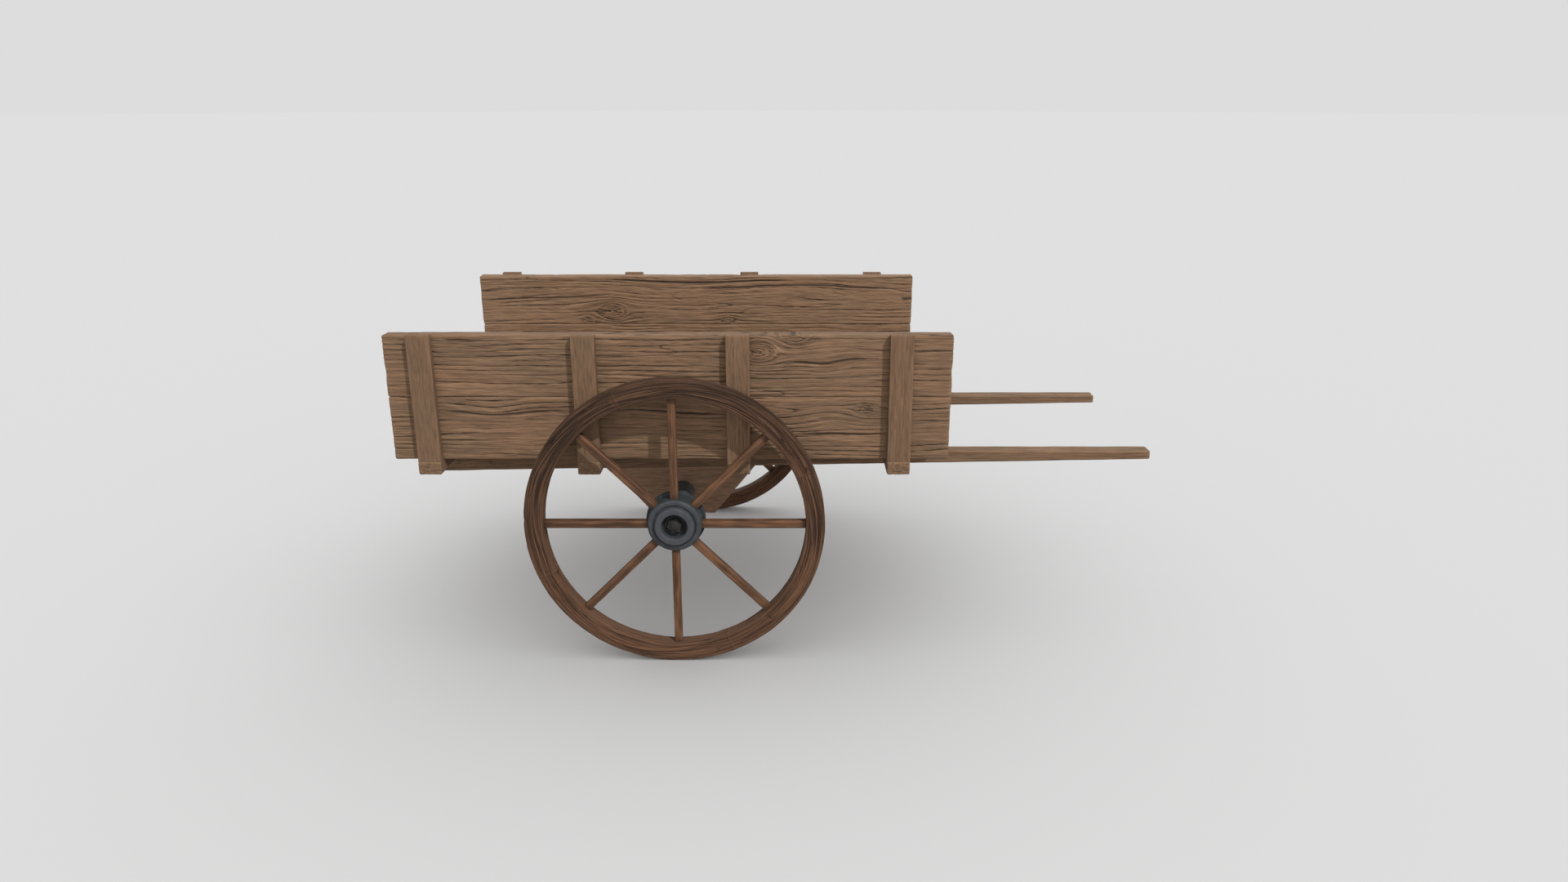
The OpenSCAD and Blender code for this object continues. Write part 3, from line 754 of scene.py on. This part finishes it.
class HANDCART_OT_axle(bpy.types.Operator):
    """Forged axle with turned journals, and the collar nuts that keep the wheels on."""

    bl_idname = "hand_cart.axle"
    bl_label = "Axle and nuts"

    # Radii of the bar, its shoulder collar, the journal, the stud and the nut's corners
    BAR, COLLAR, JOURNAL, STUD, NUT = 0.0365, 0.037, 0.025, 0.015, 0.0252
    HAMMERED = 0.0009  # height of the marks of the hammer
    END_PLAY = 0.0005
    NUT_TURNS = (17, 41)  # degrees that each nut came to rest at
    # Radius and distance outwards, in millimetres
    NUT_COLLAR = ((15, 0), (34, 0), (35, 1), (35, 3.6), (33.6, 5), (27, 5.3), (15, 5.3))

    def execute(self, context):
        p = context.scene.hand_cart_iron
        # Forged iron under grease: mid grey with a dull sheen, and rust in its hollows
        material = iron(
            "iron_forged_greased", p.axle_colour, rust=0.5, polish=0.62, metal=0.3, blue=False
        )
        low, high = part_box("axle")
        middle = wheel_middle("right")
        middle.y = 0.0
        reach = high[1]
        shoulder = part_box("right_hub")[0][1] - self.END_PLAY
        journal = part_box("right_axle_nut")[0][1]
        half = [(self.BAR, shoulder * i / 48) for i in range(48)]
        half += [
            (self.COLLAR, shoulder - 0.002), (0.036, shoulder), (self.JOURNAL, shoulder),
            (self.JOURNAL, (shoulder + journal) / 2), (self.JOURNAL, journal), (self.STUD, journal),
            (self.STUD, reach - 0.0025), (0.0135, reach - 0.0008), (0.006, reach), (0.0, reach),
        ]
        profile = [(r, -y) for r, y in reversed(half[1:])] + half
        bm = turned(profile, 72)
        bm.normal_update()
        for v in bm.verts:
            if abs(v.co.y) < shoulder - 0.001 and math.hypot(v.co.x, v.co.z) > 0.03:
                lump = noise.noise((v.co.x * 26, v.co.y * 22, v.co.z * 26))
                v.co += v.normal * self.HAMMERED * (lump - 0.5)
        bmesh.ops.translate(bm, verts=bm.verts, vec=middle)
        bar = stand_in(bm, "axle_bar", "cart", "axle_iron", material, "axle")

        # Wrought iron left to rust: near black and brown, rough, with hardly any shine
        rusted = iron(
            "iron_wrought_rusted", p.nut_colour, rust=0.85, polish=0.85, metal=0.1, blue=False
        )
        bar.data.materials.append(rusted)
        for face in bar.data.polygons:
            face.material_index = 1 if abs(face.center.y) > journal else 0
        for s, side in enumerate(SIDES):
            out = OUTWARD[side]
            low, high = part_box(f"{side}_axle_nut")
            length = high[1] - low[1]
            bm = turned([(r * MM, a * MM) for r, a in self.NUT_COLLAR], 96)
            soften(bm, 0.0005)
            rise = Matrix.Translation((0, 0.0055 + (length - 0.0055) / 2 - 0.0004, 0))
            nut = bmesh.ops.create_cone(
                bm, cap_ends=True, cap_tris=False, segments=6, radius1=self.NUT, radius2=self.NUT,
                depth=length - 0.005, matrix=rise @ Matrix.Rotation(math.pi / 2, 4, "X"),
            )["verts"]
            faces = {f for v in nut for f in v.link_faces}
            caps = [f for f in faces if len(f.verts) == 6]
            bmesh.ops.inset_region(bm, faces=caps, thickness=0.0035, depth=-0.0025)
            edges = {e for v in nut if v.is_valid for e in v.link_edges}
            bmesh.ops.bevel(
                bm, geom=list(edges), offset=0.0012, segments=2, profile=0.5, affect="EDGES", material=-1,
                clamp_overlap=True,
            )
            bmesh.ops.subdivide_edges(bm, edges=bm.edges, cuts=1, use_grid_fill=True)
            uneven(bm, 0.0014, 85.0, 7.0 + 9 * s)
            turn = Matrix.Rotation(math.radians(self.NUT_TURNS[s]), 4, "Y")
            start = low[1] if out > 0 else high[1]
            facing = Matrix.Scale(out, 4, (0, 1, 0)) @ turn
            place = Matrix.Translation((middle.x, start, middle.z)) @ facing
            bmesh.ops.transform(bm, matrix=place, verts=bm.verts)
            stand_in(bm, f"{side}_collar_nut", "cart", "axle_iron", rusted, f"{side}_axle_nut")
        return {"FINISHED"}


# ---- Wheels ----


class HANDCART_OT_felloes(bpy.types.Operator):
    """Felloes of both wheels. Their figure runs round the rim from one to the next."""

    bl_idname = "hand_cart.felloes"
    bl_label = "Felloes"

    DEPTH = 0.063  # of the rim, from the ground inwards
    GAP = 0.00005  # half the gap at a joint
    FIRST_JOINT = math.radians(22.5)
    FINER = Vector((1.0, 1.6, 1.6))  # the streaks are this much narrower than in the boards

    def execute(self, context):
        p = context.scene.hand_cart_timber
        # Sawn elm soaked with oil: dark red brown, with deep hard-edged streaks along the rim
        material = timber(
            "elm_sawn_oiled", p.rim_colour, light=1.50, dark=0.34, crack=0.12, red=1.02, polish=0.82,
            depth=0.0036, mottle=0.06, hold=1.0, fibre=0.6, contrast=1.9,
        )
        for s, side in enumerate(SIDES):
            middle = wheel_middle(side)
            names = sorted(
                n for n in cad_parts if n.startswith(f"{side}_felloe_") and n[-1].isdigit()
            )
            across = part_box(names[0])
            half = (across[1][1] - across[0][1]) / 2
            radius = max(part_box(n)[1][2] for n in names) - middle.z
            inner = radius - self.DEPTH
            mean = (radius + inner) / 2
            sweep = 2 * math.pi / len(names)

            def bend(co):
                angle = self.FIRST_JOINT + co.x / mean
                return middle + Vector((co.z * math.cos(angle), co.y, co.z * math.sin(angle)))

            for k, name in enumerate(names):
                first, last = k * sweep * mean, (k + 1) * sweep * mean
                bm = beam(
                    (first + self.GAP, -half, inner), (last - self.GAP, half, radius),
                    (0.0066, 0.0034, 0.00135), 0.0055, seed=90 + s, square_ends=True,
                )
                bends = [(first + 0.35, mean + 0.01, 0.10, 0.008), (first + 0.62, mean - 0.015, 0.08, -0.008)]
                weather(
                    bm, "xyz", 90 + s, 0.0024, 0.0034, pitch=0.0070, reach=0.15, square_ends=True,
                    bends=bends,
                )
                reshape(bm, bend)
                tones, marks = bm.verts.layers.float["tone"], bm.verts.layers.float_vector["marks"]
                grain = bm.verts.layers.float_vector["grain"]
                for v in bm.verts:
                    x, y, z = (v.co - middle) / radius
                    v[grain] = v[grain] * self.FINER
                    v[tones] = 0.06 * noise.noise((2.6 * x, 9.0 * s, 2.6 * z)) - 0.07 * z
                    # Painted light: the inner face is drawn paler all round, as if lit from above
                    painted_light_inner = 1.0 - smooth(inner + 0.004, inner + 0.009, math.hypot(x, z) * radius)
                    v[marks].y = max(v[marks].y, 1.6 * painted_light_inner)
                stand_in(bm, f"{side}_rim_{k + 1}", f"{side}_wheel", "rim_wood", material, name)
        return {"FINISHED"}


class HANDCART_OT_spokes(bpy.types.Operator):
    """Eight shaved spokes in each wheel."""

    bl_idname = "hand_cart.spokes"
    bl_label = "Spokes"

    TONES = (0.03, 0.03, -0.01, -0.07, -0.18, -0.07, -0.04, 0.02)
    START, END = 0.080, 0.424  # radii inside the hub's drum and just inside the rim
    DRUM = 0.086  # radius from which the dark at the root is counted
    DARK_ROOT = 0.035  # length at each end that is drawn darker: painted shade where the spoke meets the hub and the rim

    def execute(self, context):
        p = context.scene.hand_cart_timber
        # Oak shaved to shape and oiled: red brown, smoother than the rim, with painted shade at both ends
        material = timber(
            "oak_shaved_oiled", p.spoke_colour, light=1.30, dark=0.50, hold=0.6, depth=0.0018,
            mottle=0.10, red=1.02, contrast=1.6, fibre=1.2, polish=0.7,
        )
        for s, side in enumerate(SIDES):
            middle = wheel_middle(side)
            for k in range(1, 9):
                seed = 110 + k + 8 * s
                bm = beam(
                    (self.START, -0.012, -0.013), (self.END, 0.012, 0.013), (0.008, 0.003, 0.0032),
                    0.0035, seed=seed,
                )
                weather(
                    bm, "xyz", seed, 0.0, 0.0004, pitch=0.006, reach=0.10,
                    tone=self.TONES[(k + 3 * s) % 8],
                )
                marks = bm.verts.layers.float_vector["marks"]
                tones = bm.verts.layers.float["tone"]
                for v in bm.verts:
                    v[tones] += 0.26 * noise.noise((v.co.x * 17, v.co.y * 60 + seed, v.co.z * 70))
                    root = min(v.co.x - self.DRUM, self.END - v.co.x)
                    # Painted shade at both ends of the spoke
                    v[marks].x = max(v[marks].x, 0.9 * smooth(self.DARK_ROOT, 0.0, root))
                turn = Matrix.Translation(middle) @ Matrix.Rotation(-k * math.pi / 4, 4, "Y")
                bmesh.ops.transform(bm, matrix=turn, verts=bm.verts)
                stand_in(
                    bm, f"{side}_spoke_bar_{k}", f"{side}_wheel", "spoke_wood", material,
                    f"{side}_spoke_{k}",
                )
        return {"FINISHED"}


class HANDCART_OT_fasteners(bpy.types.Operator):
    """Finish of the bushes, dowels, nails and screws, which keep their own shapes."""

    bl_idname = "hand_cart.fasteners"
    bl_label = "Fasteners and bushes"

    def execute(self, context):
        p = context.scene.hand_cart_iron
        # Turned oak, never weathered: paler than the timber it joins
        dowel = timber("oak_turned_dowel", linear("#8a6c4e"), own=False)
        # Cast bronze: a dull yellow with a soft shine
        bronze = iron(
            "bronze_cast_bush", linear("#6d5a35"), rust=0.2, polish=0.4, metal=0.9, blue=False
        )
        # Forged iron driven into wet wood: near-black rusty heads that dot the floor
        nail = iron("iron_forged_nail", p.nut_colour, rust=0.8, polish=0.6, metal=0.7, blue=False)
        repaint(dowel, "stake_dowels", "left_felloe_dowels", "right_felloe_dowels")
        repaint(bronze, "left_hub_bush", "right_hub_bush")
        repaint(nail, "floor_nails", "coach_screws")
        return {"FINISHED"}


# ---- Stage ----


class HANDCART_OT_stage(bpy.types.Operator):
    """Plain pale floor, even fill, one soft key light and the camera."""

    bl_idname = "hand_cart.stage"
    bl_label = "Stage"

    FLOOR_RADIUS = 120.0
    FLOOR_GREY = 0.765
    SENSOR = 36.0  # width in millimetres
    BROAD = math.radians(50)  # spread of the two fill lights

    def execute(self, context):
        p = context.scene.hand_cart_stage
        scene = context.scene
        bm = bmesh.new()
        bmesh.ops.create_circle(bm, cap_ends=True, segments=96, radius=self.FLOOR_RADIUS)
        mesh = bpy.data.meshes.new("floor")
        bm.to_mesh(mesh)
        bm.free()
        floor = bpy.data.objects.new("floor", mesh)
        scene.collection.objects.link(floor)
        # Matt paper, rolled: no gloss and one even grey, so that only the shadow shows on it
        material, _, shader = new_material("paper_matt")
        shader.inputs["Base Color"].default_value = grey(self.FLOOR_GREY)
        shader.inputs["Specular IOR Level"].default_value = 0.0
        shader.inputs["Roughness"].default_value = 1.0
        mesh.materials.append(material)

        world = bpy.data.worlds.new("studio")
        scene.world = world
        world.use_nodes = True
        tree = world.node_tree
        fill = tree.nodes["Background"]
        fill.inputs["Color"].default_value = grey(1.0)
        fill.inputs["Strength"].default_value = p.sky_strength
        seen = add(tree, "Background", {"Color": p.paper_colour, "Strength": 1.0})
        path = add(tree, "LightPath")
        by_ray = {0: path.outputs["Is Camera Ray"], 1: fill.outputs[0], 2: seen.outputs[0]}
        both = add(tree, "MixShader", by_ray)
        tree.links.new(both.outputs[0], tree.nodes["World Output"].inputs["Surface"])

        # The floor takes only the fill, so that it stays plain round the cart
        lit = bpy.data.collections.new("lit_by_lamps")
        lit.objects.link(floor)
        for name, aim, strength, spread in (
            ("key", (-0.8, 1.0, -1.4), p.key_strength, p.key_spread),
            ("front_fill", (0.1, 1.0, -0.22), p.side_strength, self.BROAD),
            ("back_fill", (-0.1, -1.0, -0.22), p.side_strength, self.BROAD),
        ):
            lamp = bpy.data.lights.new(name, "SUN")
            lamp.energy, lamp.angle = strength, spread
            lamp_object = bpy.data.objects.new(name, lamp)
            lamp_object.rotation_euler = Vector(aim).to_track_quat("-Z", "Y").to_euler()
            scene.collection.objects.link(lamp_object)
            lamp_object.light_linking.receiver_collection = lit
        lit.collection_objects[0].light_linking.link_state = "EXCLUDE"

        camera = bpy.data.objects.new("camera", bpy.data.cameras.new("camera"))
        camera.data.lens = p.camera_lens
        camera.data.sensor_width = self.SENSOR
        camera.location = p.camera_place
        camera.rotation_euler = (math.pi / 2 - p.camera_pitch, 0.0, 0.0)
        scene.collection.objects.link(camera)
        scene.camera = camera
        scene.view_settings.view_transform = "Standard"
        return {"FINISHED"}


STEPS = (
    HANDCART_OT_planks,
    HANDCART_OT_stakes,
    HANDCART_OT_floor,
    HANDCART_OT_bearers,
    HANDCART_OT_shafts,
    HANDCART_OT_brackets,
    HANDCART_OT_hubs,
    HANDCART_OT_axle,
    HANDCART_OT_felloes,
    HANDCART_OT_spokes,
    HANDCART_OT_fasteners,
    HANDCART_OT_stage,
)


class HANDCART_PT_panel(bpy.types.Panel):
    """Lists the steps and their settings."""

    bl_idname = "HANDCART_PT_panel"
    bl_label = "Hand cart"
    bl_space_type = "VIEW_3D"
    bl_region_type = "UI"
    bl_category = "Hand cart"

    def draw(self, context):
        for step in STEPS:
            self.layout.operator(step.bl_idname)
        for group in (
            context.scene.hand_cart_timber, context.scene.hand_cart_iron, context.scene.hand_cart_stage
        ):
            box = self.layout.box()
            for key in group.bl_rna.properties.keys():
                if key not in ("rna_type", "name"):
                    box.prop(group, key)


GROUPS = (HandCartTimber, HandCartIron, HandCartStage)
CLASSES = GROUPS + STEPS + (HANDCART_PT_panel,)


def register():
    for cls in CLASSES:
        bpy.utils.register_class(cls)
    bpy.types.Scene.hand_cart_timber = bpy.props.PointerProperty(type=HandCartTimber)
    bpy.types.Scene.hand_cart_iron = bpy.props.PointerProperty(type=HandCartIron)
    bpy.types.Scene.hand_cart_stage = bpy.props.PointerProperty(type=HandCartStage)


def unregister():
    del bpy.types.Scene.hand_cart_stage
    del bpy.types.Scene.hand_cart_iron
    del bpy.types.Scene.hand_cart_timber
    for cls in reversed(CLASSES):
        bpy.utils.unregister_class(cls)


def main():
    register()
    for step in STEPS:
        getattr(bpy.ops.hand_cart, step.bl_idname.split(".")[1])()


if __name__ == "__main__":
    main()
